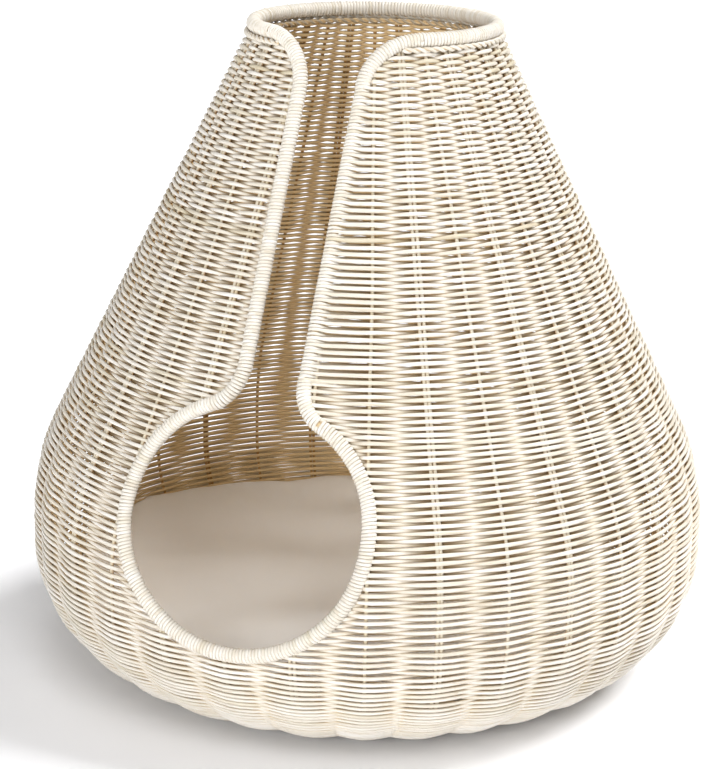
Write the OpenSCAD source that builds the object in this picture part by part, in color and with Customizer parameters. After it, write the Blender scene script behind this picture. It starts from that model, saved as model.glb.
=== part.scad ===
// Woven rattan pet house: a cone on a round belly, open at the top, with a
// narrow slot that runs down into a round entry, and a loose round cushion.
// Azimuth is counted from the front (-Y) towards +X. The origin is the centre
// of the foot, on the floor.

/* [Body] */
// Outer diameter of the belly
body_d = 560; // [520:5:620]
// Height of the wall's top edge on the outer side
wall_top_z = 541; // [500:1:580]
// Outer radius of the wall at that top edge
wall_top_r = 94.6; // [90:0.2:104]
// Radius of the round under the belly
bowl_r = 107; // [100:1:112]
// Radius of the shoulder that leads into the cone
shoulder_r = 165; // [140:1:190]
// Height of the upright stretch of the belly
belly_h = 24; // [16:1:34]
// Thickness of the woven wall
wall_t = 5; // [4:0.5:6]

/* [Stakes] */
// Number of upright stakes' places, alternately single and double
stake_places = 32; // [24:4:36]
// Radius of one stake
stake_r = 2; // [1.6:0.1:2.2]
// Azimuth of the first single stake, degrees
stake_phase = -0.8; // [-4:0.1:4]

/* [Entry and slot] */
// Half width of the entry, to the centre of its rim
entry_a = 99; // [90:1:105]
// Half height of the entry, to the centre of its rim
entry_b = 91; // [84:1:96]
// Height of the entry's centre
entry_z = 188; // [180:1:196]
// Left rail of the slot, distance from the middle plane
rail_left = 16; // [12:1:22]
// Right rail of the slot, distance from the middle plane
rail_right = 33; // [26:1:38]
// Place on the entry's outline where the left shoulder leaves it, degrees
leave_left = 67.5; // [62:0.5:70]
// Place on the entry's outline where the right shoulder leaves it, degrees
leave_right = 60; // [55:0.5:62]
// Bend radius of the left top corner
corner_left = 38; // [30:1:42]
// Bend radius of the right top corner
corner_right = 32; // [24:1:38]

/* [Rim] */
// Radius of the wrapped rim
rim_r = 6; // [5:0.5:7]
// Radius of the cane inside the wrapping
rim_core_r = 3.4; // [3:0.1:4]
// Height of the top ring's centre
ring_z = 531.5; // [526:0.5:536]
// Radius of each strand pair twined under the top ring
border_r = 2.2; // [1.8:0.1:2.4]

/* [Base] */
// Radius of the woven base
base_r = 164; // [158:1:168]
// Outer radius of the foot border
foot_r = 188; // [184:1:190]
// Height of the foot border
foot_h = 5; // [4:0.5:5]

/* [Cushion] */
// Gap between the cushion's side and the stakes
side_gap = 6; // [5:0.5:9]
// Radius of the cushion's rounded edge
edge_r = 9; // [7:0.5:11]
// Height of the cushion's middle
crown_z = 74; // [68:1:84]
// Thickness of the cover's cloth and seam
cloth_t = 1.2; // [0.8:0.1:1.6]
// Azimuth of the zip's middle
zip_az = 100; // [60:5:300]
// Half of the zip's length, as an azimuth
zip_half = 40; // [30:1:50]

/* [Hidden] */
$fn = 96;
gap = 0.3;
belly_r = body_d / 2;
bowl_cx = belly_r - bowl_r;
shoulder_cx = belly_r - shoulder_r;
shoulder_cz = bowl_r + belly_h;
bowl_start = -80;
bowl_split = -45;
shoulder_split = 14;

// The cone is the line from the top edge that just touches the shoulder
cone_dx = shoulder_cx - wall_top_r;
cone_dz = wall_top_z - shoulder_cz;
cone_tilt = atan2(cone_dx, cone_dz) + asin(shoulder_r / norm([cone_dx, cone_dz]));
cone_z = shoulder_cz + shoulder_r * sin(cone_tilt);
course_1 = 300;
course_2 = 410;
wall_end_z = ring_z - rim_r - 1;

// Stakes lie against the inner face of the weave
stake_in = wall_t + gap + stake_r;
stake_depth = wall_t + gap + 2 * stake_r;
stake_end_z = wall_end_z - 3;
stake_step = 360 / stake_places;
pair_half = stake_r + gap / 2;

rim_in = 2.5;
ring_r = wall_r(ring_z) - rim_in;
left_rho = shoulder_rho(leave_left, rail_left);
right_rho = shoulder_rho(leave_right, rail_right);
left_cz = entry_z + entry_b * sin(leave_left) + left_rho * entry_n(leave_left).y;
right_cz = entry_z + entry_b * sin(leave_right) + right_rho * entry_n(leave_right).y;
corner_left_x = rail_left + corner_left;
corner_right_x = rail_right + corner_right;
ring_start = asin(corner_right_x / ring_r);
ring_sweep = 360 - ring_start - asin(corner_left_x / ring_r);
rail_steps = 14;
hoop_steps = 64;
rim_clear = rim_r + gap;
stake_clear = rim_clear + 2 * stake_r;
cut_depth = belly_r + 30;
cut_top = wall_top_z + 30;
border_z = wall_end_z - border_r - 2;
border_stop = 6;

weave_z = 1.2;
weave_t = 3.8;
spoke_z = weave_z + weave_t + 0.2 + stake_r;
cross_z = spoke_z + 2 * stake_r + 0.2;
cross_count = 8;
cross_half = 21;
spoke_in = 27;
spoke_out = bowl_cx + (bowl_r - stake_in) * cos(bowl_start) - 1;

// Cushion: its side follows the bowl, then rolls over into the crown
side_r = bowl_r - stake_depth - side_gap;
side_low = -74;
side_high = -38;
roll_cx = bowl_cx + (side_r - edge_r) * cos(side_high);
roll_cz = bowl_r + (side_r - edge_r) * sin(side_high);
roll_end = 80;
pad_floor_z = cross_z + stake_r + 0.4;
pad_floor_r = bowl_cx + 4;
seam_angle = -12;

tape_angles = [10, 70];
tape_t = 1;
tape_lift = 0.2;
slider_az = zip_az + zip_half - 5;
slider_angle = 40;
slider_lift = tape_lift + tape_t + 0.2;
slider_size = [2.2, 8, 10];
ear_t = 1.2;
ear_gap = 5.4;
pin_r = 0.8;
pin_lift = 2.2;
pull_w = 5;
pull_l = 9;
pull_t = 1.4;
pull_bore_r = pin_r + 0.06;
pull_eye_r = 1.7;

cane = [0.90, 0.85, 0.74];
cane_dark = [0.80, 0.71, 0.55];
cloth = [0.90, 0.88, 0.84];

// Outer radius of the wall at height z
function wall_r(z) =
    z >= cone_z ? wall_top_r + (wall_top_z - z) * tan(cone_tilt)
    : z >= shoulder_cz ? shoulder_cx + sqrt(pow(shoulder_r, 2) - pow(z - shoulder_cz, 2))
    : z >= bowl_r ? belly_r
    : bowl_cx + sqrt(pow(bowl_r, 2) - pow(bowl_r - z, 2));

function unit(v) = v / norm(v);

// Points on an arc in a plane
function arc(c, r, a0, a1, steps) =
    [for (i = [0:steps]) c + r * [cos(a0 + (a1 - a0) * i / steps), sin(a0 + (a1 - a0) * i / steps)]];

// Outward direction of the entry's oval outline at parameter t
function entry_n(t) = unit([cos(t) / entry_a, sin(t) / entry_b]);

// Radius of the round shoulder between the oval and an upright rail
function shoulder_rho(t, rail) = (entry_a * cos(t) - rail) / (1 - entry_n(t).x);

// Front view outlines of the rim's centre, w further out on the wall's side.
// Each one runs downwards on the right and upwards on the left.
function right_rail(w = 0) = concat(
    arc([corner_right_x, ring_z - corner_right], corner_right - w, 90, 180, 8),
    [for (i = [1:rail_steps - 1])
        [rail_right + w,
         ring_z - corner_right + (right_cz - ring_z + corner_right) * i / rail_steps]],
    arc([rail_right + right_rho, right_cz], right_rho - w, 180, 180 + right_turn(), 7)
);

function left_rail(w = 0) = [
    for (p = concat(
        arc([corner_left_x, ring_z - corner_left], corner_left - w, 90, 180, 8),
        [for (i = [1:rail_steps - 1])
            [rail_left + w,
             ring_z - corner_left + (left_cz - ring_z + corner_left) * i / rail_steps]],
        arc([rail_left + left_rho, left_cz], left_rho - w, 180, 180 + left_turn(), 7)
    )) [-p.x, p.y]
];

function right_turn() = atan2(entry_n(leave_right).y, entry_n(leave_right).x);
function left_turn() = atan2(entry_n(leave_left).y, entry_n(leave_left).x);

// Entry hoop, from the right shoulder round the bottom to the left shoulder
function hoop(w = 0) = [
    for (i = [0:hoop_steps])
        let (t = leave_right - (180 + leave_right + leave_left) * i / hoop_steps)
        [entry_a * cos(t), entry_z + entry_b * sin(t)] + w * entry_n(t)
];

function reverse(v) = [for (i = [len(v) - 1:-1:0]) v[i]];

// A front view point carried on to the rim's surface
function on_rim(p) = [p.x, -sqrt(pow(wall_r(p.y) - rim_in, 2) - pow(p.x, 2)), p.y];

// The horizontal direction straight out from the body's axis
function outward(p) = unit([p.x, p.y, 0]);

// Ring of points round a path point, square to the path
function section(p, along, r, sides) =
    let (side = unit(cross(along, outward(p))), up = cross(side, along))
    [for (k = [0:sides - 1]) p + r * (cos(360 * k / sides) * up + sin(360 * k / sides) * side)];

// Direction of the path at point i. Its first and last are given.
function heading(path, i, first, last) =
    i == 0 ? first : i == len(path) - 1 ? last : unit(path[i + 1] - path[i - 1]);

// Tube swept along a path; r_in above 0 makes it hollow
module sweep(path, first, last, r_out, r_in = 0, sides = 12) {
    count = len(path);
    rings = [for (i = [0:count - 1])
        let (along = heading(path, i, first, last))
        each concat(section(path[i], along, r_out, sides),
                    r_in > 0 ? section(path[i], along, r_in, sides) : [path[i]])];
    stride = r_in > 0 ? 2 * sides : sides + 1;
    skin = [for (i = [0:count - 2], k = [0:sides - 1])
        let (a = i * stride + k, b = i * stride + (k + 1) % sides)
        each [[a, b + stride, b], [a, a + stride, b + stride]]];
    bore = r_in > 0 ? [for (i = [0:count - 2], k = [0:sides - 1])
        let (a = i * stride + sides + k, b = i * stride + sides + (k + 1) % sides)
        each [[a, b, b + stride], [a, b + stride, a + stride]]] : [];
    last_ring = (count - 1) * stride;
    caps = [for (k = [0:sides - 1])
        let (n = (k + 1) % sides)
        each r_in > 0
            ? [[k, n, sides + n], [k, sides + n, sides + k],
               [last_ring + k, last_ring + sides + n, last_ring + n],
               [last_ring + k, last_ring + sides + k, last_ring + sides + n]]
            : [[k, n, sides], [last_ring + n, last_ring + k, last_ring + sides]]];
    polyhedron(points = rings, faces = concat(skin, bore, caps));
}

// Headings where the rim's pieces meet
function ring_heading(x) = let (p = on_rim([x, ring_z])) unit([p.y, -p.x, 0]);
function hoop_heading(i) = unit(on_rim(hoop()[i + 1]) - on_rim(hoop()[i]));

module rim_right(r_out, r_in = 0) {
    path = [for (p = right_rail()) on_rim(p)];
    sweep(path, ring_heading(corner_right_x), hoop_heading(0), r_out, r_in);
}

module rim_left(r_out, r_in = 0) {
    path = [for (p = reverse(left_rail())) on_rim(p)];
    sweep(path, hoop_heading(hoop_steps - 1), ring_heading(-corner_left_x), r_out, r_in);
}

module rim_entry(r_out, r_in = 0) {
    path = [for (p = hoop()) on_rim(p)];
    sweep(path, hoop_heading(0), hoop_heading(hoop_steps - 1), r_out, r_in);
}

// Turns a shape in the XZ plane to an azimuth
module at_azimuth(az) { rotate([0, 0, az - 90]) children(); }

// Part turn about the body's axis, from one azimuth on by a sweep
module part_turn(from, sweep) {
    at_azimuth(from) rotate_extrude(angle = sweep) children();
}

// Strip of a circle's edge between two angles, in a meridian plane
module arc_strip(c, r_out, t, a0, a1) {
    reach = 2 * r_out;
    translate(c) intersection() {
        difference() {
            circle(r = r_out, $fn = 180);
            circle(r = r_out - t, $fn = 180);
        }
        polygon([[0, 0], reach * [cos(a0), sin(a0)], reach * [cos((a0 + a1) / 2), sin((a0 + a1) / 2)],
                 reach * [cos(a1), sin(a1)]]);
    }
}

module bowl_strip(a0, a1) { arc_strip([bowl_cx, bowl_r], bowl_r, wall_t, a0, a1); }
module shoulder_strip(a0, a1) { arc_strip([shoulder_cx, shoulder_cz], shoulder_r, wall_t, a0, a1); }

// Stretch of the cone's wall between two heights
module cone_strip(z0, z1) {
    run = wall_t / cos(cone_tilt);
    polygon([[wall_r(z0), z0], [wall_r(z1), z1], [wall_r(z1) - run, z1], [wall_r(z0) - run, z0]]);
}

// First stretch of the cone, which starts square to the shoulder's end
module cone_start(z1) {
    inner = [shoulder_cx, shoulder_cz]
        + (shoulder_r - wall_t) * [cos(cone_tilt), sin(cone_tilt)];
    polygon([[wall_r(cone_z), cone_z], [wall_r(z1), z1], [wall_r(z1) - wall_t / cos(cone_tilt), z1],
             inner]);
}

// The entry and slot, as cut through the weave clear of the rim's centre
module opening_cut(clear = rim_clear) {
    outline = concat(
        [[corner_right_x, cut_top]], right_rail(clear), hoop(clear),
        reverse(left_rail(clear)), [[-corner_left_x, cut_top]]
    );
    rotate([90, 0, 0]) linear_extrude(cut_depth) polygon(outline);
}

module course() {
    color(cane) difference() {
        rotate_extrude() children();
        opening_cut();
    }
}

module weft_foot() { color(cane) rotate_extrude() bowl_strip(bowl_start, bowl_split); }
module weft_bowl() { course() bowl_strip(bowl_split, 0); }
module weft_belly() {
    course() {
        translate([belly_r - wall_t, bowl_r]) square([wall_t, belly_h]);
        shoulder_strip(0, shoulder_split);
    }
}
module weft_shoulder() { course() shoulder_strip(shoulder_split, cone_tilt); }
module weft_cone_low() { course() cone_start(course_1); }
module weft_cone_mid() { course() cone_strip(course_1, course_2); }
module weft_cone_high() { course() cone_strip(course_2, wall_end_z); }

// One stake from the foot to the top ring, in the XZ plane
module stake() {
    rise_z = shoulder_cz + (shoulder_r - stake_in) * sin(cone_tilt);
    rise_x = shoulder_cx + (shoulder_r - stake_in) * cos(cone_tilt);
    translate([bowl_cx, 0, bowl_r]) rotate([90, 0, 0]) rotate([0, 0, bowl_start])
        rotate_extrude(angle = -bowl_start)
            translate([bowl_r - stake_in, 0]) circle(r = stake_r, $fn = 32);
    translate([belly_r - stake_in, 0, bowl_r]) cylinder(r = stake_r, h = belly_h, $fn = 32);
    translate([shoulder_cx, 0, shoulder_cz]) rotate([90, 0, 0])
        rotate_extrude(angle = cone_tilt)
            translate([shoulder_r - stake_in, 0]) circle(r = stake_r, $fn = 32);
    translate([rise_x, 0, rise_z]) rotate([0, -cone_tilt, 0])
        cylinder(r = stake_r, h = (stake_end_z - rise_z) / cos(cone_tilt), $fn = 32);
}

// Stakes near the front stop at the rim
module stake_at(az, shift = 0) {
    front = az < 36 || az > 330;
    difference() {
        at_azimuth(az) translate([0, shift, 0]) stake();
        if (front) opening_cut(stake_clear);
    }
}

module stakes_single() {
    color(cane_dark)
        for (i = [0:2:stake_places - 1]) stake_at((stake_phase + i * stake_step + 360) % 360);
}

module stakes_double() {
    color(cane_dark)
        for (i = [1:2:stake_places - 1], side = [-1, 1])
            stake_at((stake_phase + i * stake_step + 360) % 360, side * pair_half);
}

module ring_section(r_out, r_in = 0) {
    translate([ring_r, ring_z]) difference() {
        circle(r = r_out, $fn = 48);
        if (r_in > 0) circle(r = r_in, $fn = 48);
    }
}

module rim_core_ring() { color(cane_dark) part_turn(ring_start, ring_sweep) ring_section(rim_core_r); }
module rim_core_left() { color(cane_dark) rim_left(rim_core_r); }
module rim_core_right() { color(cane_dark) rim_right(rim_core_r); }
module rim_core_entry() { color(cane_dark) rim_entry(rim_core_r); }
module rim_wrap_ring() {
    color(cane) part_turn(ring_start, ring_sweep) ring_section(rim_r, rim_core_r + gap / 2);
}
module rim_wrap_left() { color(cane) rim_left(rim_r, rim_core_r + gap); }
module rim_wrap_right() { color(cane) rim_right(rim_r, rim_core_r + gap); }
module rim_wrap_entry() { color(cane) rim_entry(rim_r, rim_core_r + gap); }

// Twined strands just under the top ring, outside and inside the wall
module border(r) {
    part_turn(ring_start + border_stop, ring_sweep - 2 * border_stop)
        translate([r, border_z]) circle(r = border_r, $fn = 32);
}
module border_outer() {
    color(cane) border(wall_r(border_z) + (border_r + gap) / cos(cone_tilt));
}
module border_inner() {
    color(cane) border(wall_r(border_z) - (stake_depth + border_r + gap) / cos(cone_tilt));
}

// Rolled border that the house stands on, flat underneath
module foot_border() {
    soft = 2;
    color(cane) rotate_extrude() {
        translate([base_r + gap, 0]) square([foot_r - soft - base_r - gap, foot_h]);
        translate([foot_r - soft - 1, 0]) square([soft + 1, foot_h - soft]);
        translate([foot_r - soft, foot_h - soft]) circle(r = soft, $fn = 48);
    }
}

module base_weave() {
    color(cane) translate([0, 0, weave_z]) cylinder(r = base_r, h = weave_t, $fn = 180);
}

module base_spokes() {
    color(cane_dark)
        for (i = [0:stake_places - 1])
            at_azimuth(stake_phase + i * stake_step) translate([spoke_in, 0, spoke_z])
                rotate([0, 90, 0]) cylinder(r = stake_r, h = spoke_out - spoke_in, $fn = 32);
}

// Two layers of short rods that cross at the middle of the base
module base_cross() {
    pitch = 2 * stake_r + 0.4;
    color(cane_dark)
        for (i = [0:cross_count - 1], layer = [0, 1])
            rotate([0, 0, 90 * layer])
                translate([-cross_half, (i - (cross_count - 1) / 2) * pitch,
                           layer == 0 ? spoke_z : cross_z])
                    rotate([0, 90, 0])
                        cylinder(r = layer == 0 ? stake_r : stake_r - 0.1, h = 2 * cross_half, $fn = 32);
}

// Height of the crowned top at radius r, level at the middle
function crown(r, inset) =
    let (end_r = roll_cx + (edge_r - inset) * cos(roll_end),
         end_z = roll_cz + (edge_r - inset) * sin(roll_end))
    end_z + (crown_z - inset - end_z) * (1 - pow(r / end_r, 2.4));

function pad_top(inset) = concat(
    arc([roll_cx, roll_cz], edge_r - inset, seam_angle, roll_end, 8),
    [for (i = [9:-1:0])
        let (r = (roll_cx + (edge_r - inset) * cos(roll_end)) * i / 10) [r, crown(r, inset)]]
);

function pad_bottom(inset) = concat(
    [[0, pad_floor_z + inset], [pad_floor_r, pad_floor_z + inset]],
    arc([bowl_cx, bowl_r], side_r - inset, side_low, side_high, 6),
    arc([roll_cx, roll_cz], edge_r - inset, side_high + 10, seam_angle, 3)
);

module cushion_filling() {
    color(cloth) rotate_extrude() polygon(concat(pad_bottom(cloth_t + gap), pad_top(cloth_t + gap)));
}
module cushion_top() {
    color(cloth) rotate_extrude() polygon(concat(pad_top(0), reverse(pad_top(cloth_t))));
}
module cushion_bottom() {
    color(cloth) rotate_extrude() polygon(concat(pad_bottom(0), reverse(pad_bottom(cloth_t))));
}

module zip_tape() {
    color(cloth) part_turn(zip_az - zip_half, 2 * zip_half)
        arc_strip([roll_cx, roll_cz], edge_r + tape_lift + tape_t, tape_t,
                  tape_angles[0], tape_angles[1]);
}

// Frame on the zip: +X out from the cloth, +Z up along it, +Y along the zip
module on_zip() {
    at_azimuth(slider_az) translate([roll_cx, 0, roll_cz]) rotate([0, -slider_angle, 0])
        translate([edge_r + slider_lift, 0, 0]) children();
}

module zip_slider() {
    color("silver") on_zip() {
        translate([0, -slider_size.y / 2, -slider_size.z / 2]) cube(slider_size);
        for (side = [-1, 1])
            translate([slider_size.x - 0.5, side * (ear_gap + ear_t) / 2 - ear_t / 2, -2.5])
                cube([pin_lift + pin_r + 1 - slider_size.x + 2.2, ear_t, 5]);
        translate([slider_size.x + pin_lift - 0.2, -ear_gap / 2 - ear_t / 2, 0])
            rotate([-90, 0, 0]) cylinder(r = pin_r, h = ear_gap + ear_t, $fn = 32);
    }
}

module zip_pull() {
    color("silver") on_zip() translate([slider_size.x + pin_lift - 0.2, -pull_w / 2, 0])
        rotate([-90, 0, 0]) difference() {
            union() {
                cylinder(r = pull_eye_r, h = pull_w, $fn = 48);
                translate([-pull_t / 2, -pull_l, 0]) cube([pull_t, pull_l, pull_w]);
            }
            translate([0, 0, -1]) cylinder(r = pull_bore_r, h = pull_w + 2, $fn = 48);
        }
}

foot_border();
base_weave();
base_spokes();
base_cross();
stakes_single();
stakes_double();
weft_foot();
weft_bowl();
weft_belly();
weft_shoulder();
weft_cone_low();
weft_cone_mid();
weft_cone_high();
rim_core_ring();
rim_core_left();
rim_core_right();
rim_core_entry();
rim_wrap_ring();
rim_wrap_left();
rim_wrap_right();
rim_wrap_entry();
border_outer();
border_inner();
cushion_filling();
cushion_top();
cushion_bottom();
zip_tape();
zip_slider();
zip_pull();
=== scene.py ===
import math

import bpy
import numpy as np
from mathutils import Matrix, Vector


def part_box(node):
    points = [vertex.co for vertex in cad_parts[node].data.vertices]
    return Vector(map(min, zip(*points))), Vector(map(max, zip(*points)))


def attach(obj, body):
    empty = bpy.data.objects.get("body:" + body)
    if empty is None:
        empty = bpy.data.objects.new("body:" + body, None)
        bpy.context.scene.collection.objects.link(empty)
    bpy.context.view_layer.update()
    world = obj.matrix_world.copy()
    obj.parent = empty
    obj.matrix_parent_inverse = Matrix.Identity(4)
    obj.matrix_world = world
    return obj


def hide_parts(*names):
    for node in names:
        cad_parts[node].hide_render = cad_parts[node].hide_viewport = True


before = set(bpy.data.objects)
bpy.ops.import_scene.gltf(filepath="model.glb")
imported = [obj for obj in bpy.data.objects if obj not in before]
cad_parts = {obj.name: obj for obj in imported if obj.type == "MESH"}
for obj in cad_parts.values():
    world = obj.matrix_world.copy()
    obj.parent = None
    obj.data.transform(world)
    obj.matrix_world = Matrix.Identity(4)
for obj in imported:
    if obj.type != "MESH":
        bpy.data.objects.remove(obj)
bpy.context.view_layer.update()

rng = np.random.default_rng(27)
mm = 0.001


def boxMm(nodeName):
    # A CAD node's corners, in millimetres
    return np.array(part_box(nodeName)) / mm


# The house's own sizes, in mm. Those the CAD nodes hold are read from their boxes.
ringBox = boxMm("rim_wrap_ring")
entryBox = boxMm("rim_wrap_entry")
rimRadius = (ringBox[1][2] - ringBox[0][2]) / 2
house = {
    "bellyRadius": boxMm("weft_bowl")[1][0],
    "bowlRadius": boxMm("weft_bowl")[1][2],
    "bellyHeight": 24.0,
    "shoulderRadius": 165.0,
    "topZ": 541.0,
    "topRadius": 94.6,
    "ringZ": (ringBox[1][2] + ringBox[0][2]) / 2,
    "entryHalfWidth": entryBox[1][0] - rimRadius,
    "entryHalfHeight": 91.0,
    "entryZ": entryBox[0][2] + rimRadius + 91.0,
    "railLeft": 16.0,
    "railRight": 33.0,
    "leaveLeft": 67.5,
    "leaveRight": 60.0,
    "cornerLeft": 38.0,
    "cornerRight": 32.0,
    "rimInset": 2.5,
}

# How the weaving is done, in mm and degrees
weave = {
    "weftRadius": 1.32,
    "stakeRadius": 1.45,
    "pitch": 2.66,          # rows on the belly and cone
    "footPitch": 2.42,      # rows beaten tight under the belly
    "tightUntil": 150.0,    # run from the foot over which the rows open up
    "stakeCount": 32,
    "phase": -0.8,
    "singleHalf": 1.3,      # half the run in which a row hugs one stake
    "doubleHalf": 3.6,      # the same for a pair
    "stepsPerStake": 6,
    "wander": 0.11,         # how far a row strays from its level
    "press": 0.34,          # how much taller a row is where it lies against a stake
    "sides": 6,
    "startsAt": 12.0,       # how far up the bowl's arc the lowest row lies
    "stakesFrom": 9.0,      # the same for the stakes' ends
}
rowDepth = weave["weftRadius"] + weave["stakeRadius"]
middle = -(rowDepth + weave["weftRadius"])     # the weave's middle, in from the outer skin
stakeStep = 360.0 / weave["stakeCount"]

# ---- the wall's shape


coneDx = house["bellyRadius"] - house["shoulderRadius"] - house["topRadius"]
coneDz = house["topZ"] - house["bowlRadius"] - house["bellyHeight"]
coneTilt = math.atan2(coneDx, coneDz) + math.asin(house["shoulderRadius"] / math.hypot(coneDx, coneDz))
bowlRun = house["bowlRadius"] * math.pi / 2
bellyRun = bowlRun + house["bellyHeight"]
shoulderRun = bellyRun + house["shoulderRadius"] * coneTilt
bowlCentre = house["bellyRadius"] - house["bowlRadius"]
shoulderCentre = house["bellyRadius"] - house["shoulderRadius"]
shoulderZ = house["bowlRadius"] + house["bellyHeight"]


def wallAt(run, out):
    # Radius, height and outward slope at a run up the wall from the foot, moved out along the
    # skin's normal. Below zero the run goes in over the flat base. The bowl is a quarter
    # circle, the belly upright, the shoulder an arc and the cone its tangent.
    run, out = np.broadcast_arrays(np.asarray(run, float), np.asarray(out, float))
    bowl = np.clip(run / house["bowlRadius"], 0, math.pi / 2) - math.pi / 2
    turn = np.clip((run - bellyRun) / house["shoulderRadius"], 0, coneTilt)
    tilt = np.where(run < bowlRun, bowl, turn)
    upright = np.clip(run - bowlRun, 0, house["bellyHeight"])
    along = np.maximum(run - shoulderRun, 0)
    arcRadius = np.where(run < bowlRun, house["bowlRadius"], house["shoulderRadius"])
    centreR = np.where(run < bowlRun, bowlCentre, shoulderCentre)
    centreZ = np.where(run < bowlRun, house["bowlRadius"], house["bowlRadius"] + upright)
    radius = centreR + (arcRadius + out) * np.cos(tilt) - along * math.sin(coneTilt)
    height = centreZ + (arcRadius + out) * np.sin(tilt) + along * math.cos(coneTilt)
    radius = radius + np.minimum(run, 0)
    return radius, height, tilt


def wallRadius(z):
    # Outer radius of the skin at a height
    z = np.asarray(z, float)
    cone = house["topRadius"] + (house["topZ"] - z) * math.tan(coneTilt)
    arc = shoulderCentre + np.sqrt(np.maximum(house["shoulderRadius"] ** 2 - (z - shoulderZ) ** 2, 0))
    belowCentre = house["bowlRadius"] - z
    low = bowlCentre + np.sqrt(np.maximum(house["bowlRadius"] ** 2 - belowCentre ** 2, 0))
    coneFrom = shoulderZ + house["shoulderRadius"] * math.sin(coneTilt)
    lower = np.where(z > house["bowlRadius"], house["bellyRadius"], low)
    return np.where(z > coneFrom, cone, np.where(z > shoulderZ, arc, lower))


def onWall(run, azimuth, out):
    # A point of the wall and the outward normal there; azimuth 0 is the front, in degrees
    run, azimuth, out = np.broadcast_arrays(run, azimuth, out)
    radius, height, tilt = wallAt(run, out)
    a = np.radians(azimuth)
    point = np.stack([radius * np.sin(a), -radius * np.cos(a), height], -1)
    normal = np.stack([np.cos(tilt) * np.sin(a), -np.cos(tilt) * np.cos(a), np.sin(tilt)], -1)
    return point, normal


# ---- the rim's line, in the front view


def arcPoints(centre, radius, fromDeg, toDeg, count):
    # Points of a circle's arc: the centre plus the radius times cos and sin of even angles
    a = np.radians(np.linspace(fromDeg, toDeg, count))
    return np.stack([centre[0] + radius * np.cos(a), centre[1] + radius * np.sin(a)], -1)


def railLine(rail, leave, corner, side):
    # From the top ring round the corner, down the rail and out along the shoulder to the entry
    t = math.radians(leave)
    n = np.array([math.cos(t) / house["entryHalfWidth"], math.sin(t) / house["entryHalfHeight"]])
    n = n / np.linalg.norm(n)
    bend = (house["entryHalfWidth"] * math.cos(t) - rail) / (1 - n[0])
    bendZ = house["entryZ"] + house["entryHalfHeight"] * math.sin(t) + bend * n[1]
    turn = math.degrees(math.atan2(n[1], n[0]))
    top = arcPoints((rail + corner, house["ringZ"] - corner), corner, 90, 180, 24)
    low = arcPoints((rail + bend, bendZ), bend, 180, 180 + turn, 24)
    straight = np.linspace(top[-1], low[0], 60)[1:-1]
    line = np.concatenate([top, straight, low])
    return line * np.array([side, 1.0])


def hoopLine(count=400):
    # The entry's ellipse from the right rail's foot round below to the left one's: half
    # width times cos, and half height times sin
    t = np.radians(np.linspace(house["leaveRight"], -180 - house["leaveLeft"], count))
    return np.stack([house["entryHalfWidth"] * np.cos(t),
                     house["entryZ"] + house["entryHalfHeight"] * np.sin(t)], -1)


def onRim(line):
    # Carries a front view line back on to the rim's surface: y is minus the root of the
    # radius squared less x squared
    radius = wallRadius(line[:, 1]) - house["rimInset"]
    return np.stack([line[:, 0], -np.sqrt(radius ** 2 - line[:, 0] ** 2), line[:, 1]], -1)


rightLine = railLine(house["railRight"], house["leaveRight"], house["cornerRight"], 1)
leftLine = railLine(house["railLeft"], house["leaveLeft"], house["cornerLeft"], -1)
entryLine = hoopLine()


def openingEdges():
    # The opening's left and right edge against height, as two tables
    low = np.argmin(entryLine[:, 1])
    right = np.concatenate([entryLine[:low + 1][::-1], rightLine[::-1]])
    left = np.concatenate([entryLine[low:], leftLine[::-1]])
    return left, right


leftEdge, rightEdge = openingEdges()


def openingAt(z):
    # Left and right x of the opening at a height, or None below it
    if z <= leftEdge[0, 1]:
        return None
    return np.interp(z, leftEdge[:, 1], leftEdge[:, 0]), np.interp(z, rightEdge[:, 1], rightEdge[:, 0])


# ---- strands


def frameAlong(path, up):
    # Unit outward and sideways directions along a path: sideways is tangent cross up, and
    # outward is sideways cross tangent
    tangent = np.gradient(path, axis=0)
    tangent /= np.linalg.norm(tangent, axis=1, keepdims=True)
    side = np.cross(tangent, up)
    side /= np.linalg.norm(side, axis=1, keepdims=True)
    return np.cross(side, tangent), side


def strand(path, up, radius, sides, tone, depth=None, broad=1.0):
    # A round cane along a path. Each ring is the path's point plus the radius times
    # cos and sin of the angle round it; broad widens it along the surface.
    count = len(path)
    outward, side = frameAlong(path, up)
    angle = np.arange(sides) * 2 * math.pi / sides
    radius = np.broadcast_to(radius, count)[:, None, None]
    broad = np.broadcast_to(broad, count)[:, None, None]
    ring = (np.cos(angle)[None, :, None] * outward[:, None, :]
            + np.sin(angle)[None, :, None] * side[:, None, :] * broad)
    verts = (path[:, None, :] + radius * ring).reshape(-1, 3)
    i = np.arange(count - 1)[:, None] * sides
    k = np.arange(sides)[None, :]
    n = (k + 1) % sides
    skin = np.stack([i + k, i + n, i + sides + n, i + sides + k], -1).reshape(-1, 4)
    fan = np.array([[0, c, c + 1, c + 2] for c in range(1, sides - 2, 2)])
    faces = np.concatenate([skin, fan[:, ::-1], fan + (count - 1) * sides])
    step = np.linalg.norm(np.diff(path, axis=0), axis=1)
    along = np.concatenate([[0], np.cumsum(step)])
    grain = np.stack([np.repeat(along, sides), np.tile(np.cos(angle), count),
                      np.tile(np.sin(angle), count)], -1)
    tone = np.repeat(np.broadcast_to(tone, count), sides)
    depth = np.repeat(np.zeros(count) if depth is None else depth, sides)
    facing = np.tile(np.cos(angle), count)
    # Painted shade: the inner side, and the outer side of back rows (depth below zero), tinted towards tan
    # for the warm shade inside the house
    inside = np.clip(0.5 - 0.75 * facing - 0.6 * depth, 0, 1)
    # Painted shade: darkens the outward faces of back rows, the sides seen through the weave's gaps
    gapShade = np.clip(-depth, 0, 1) * np.clip(facing + 0.35, 0, 1)
    return verts, faces, grain, tone, inside, gapShade


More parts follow.
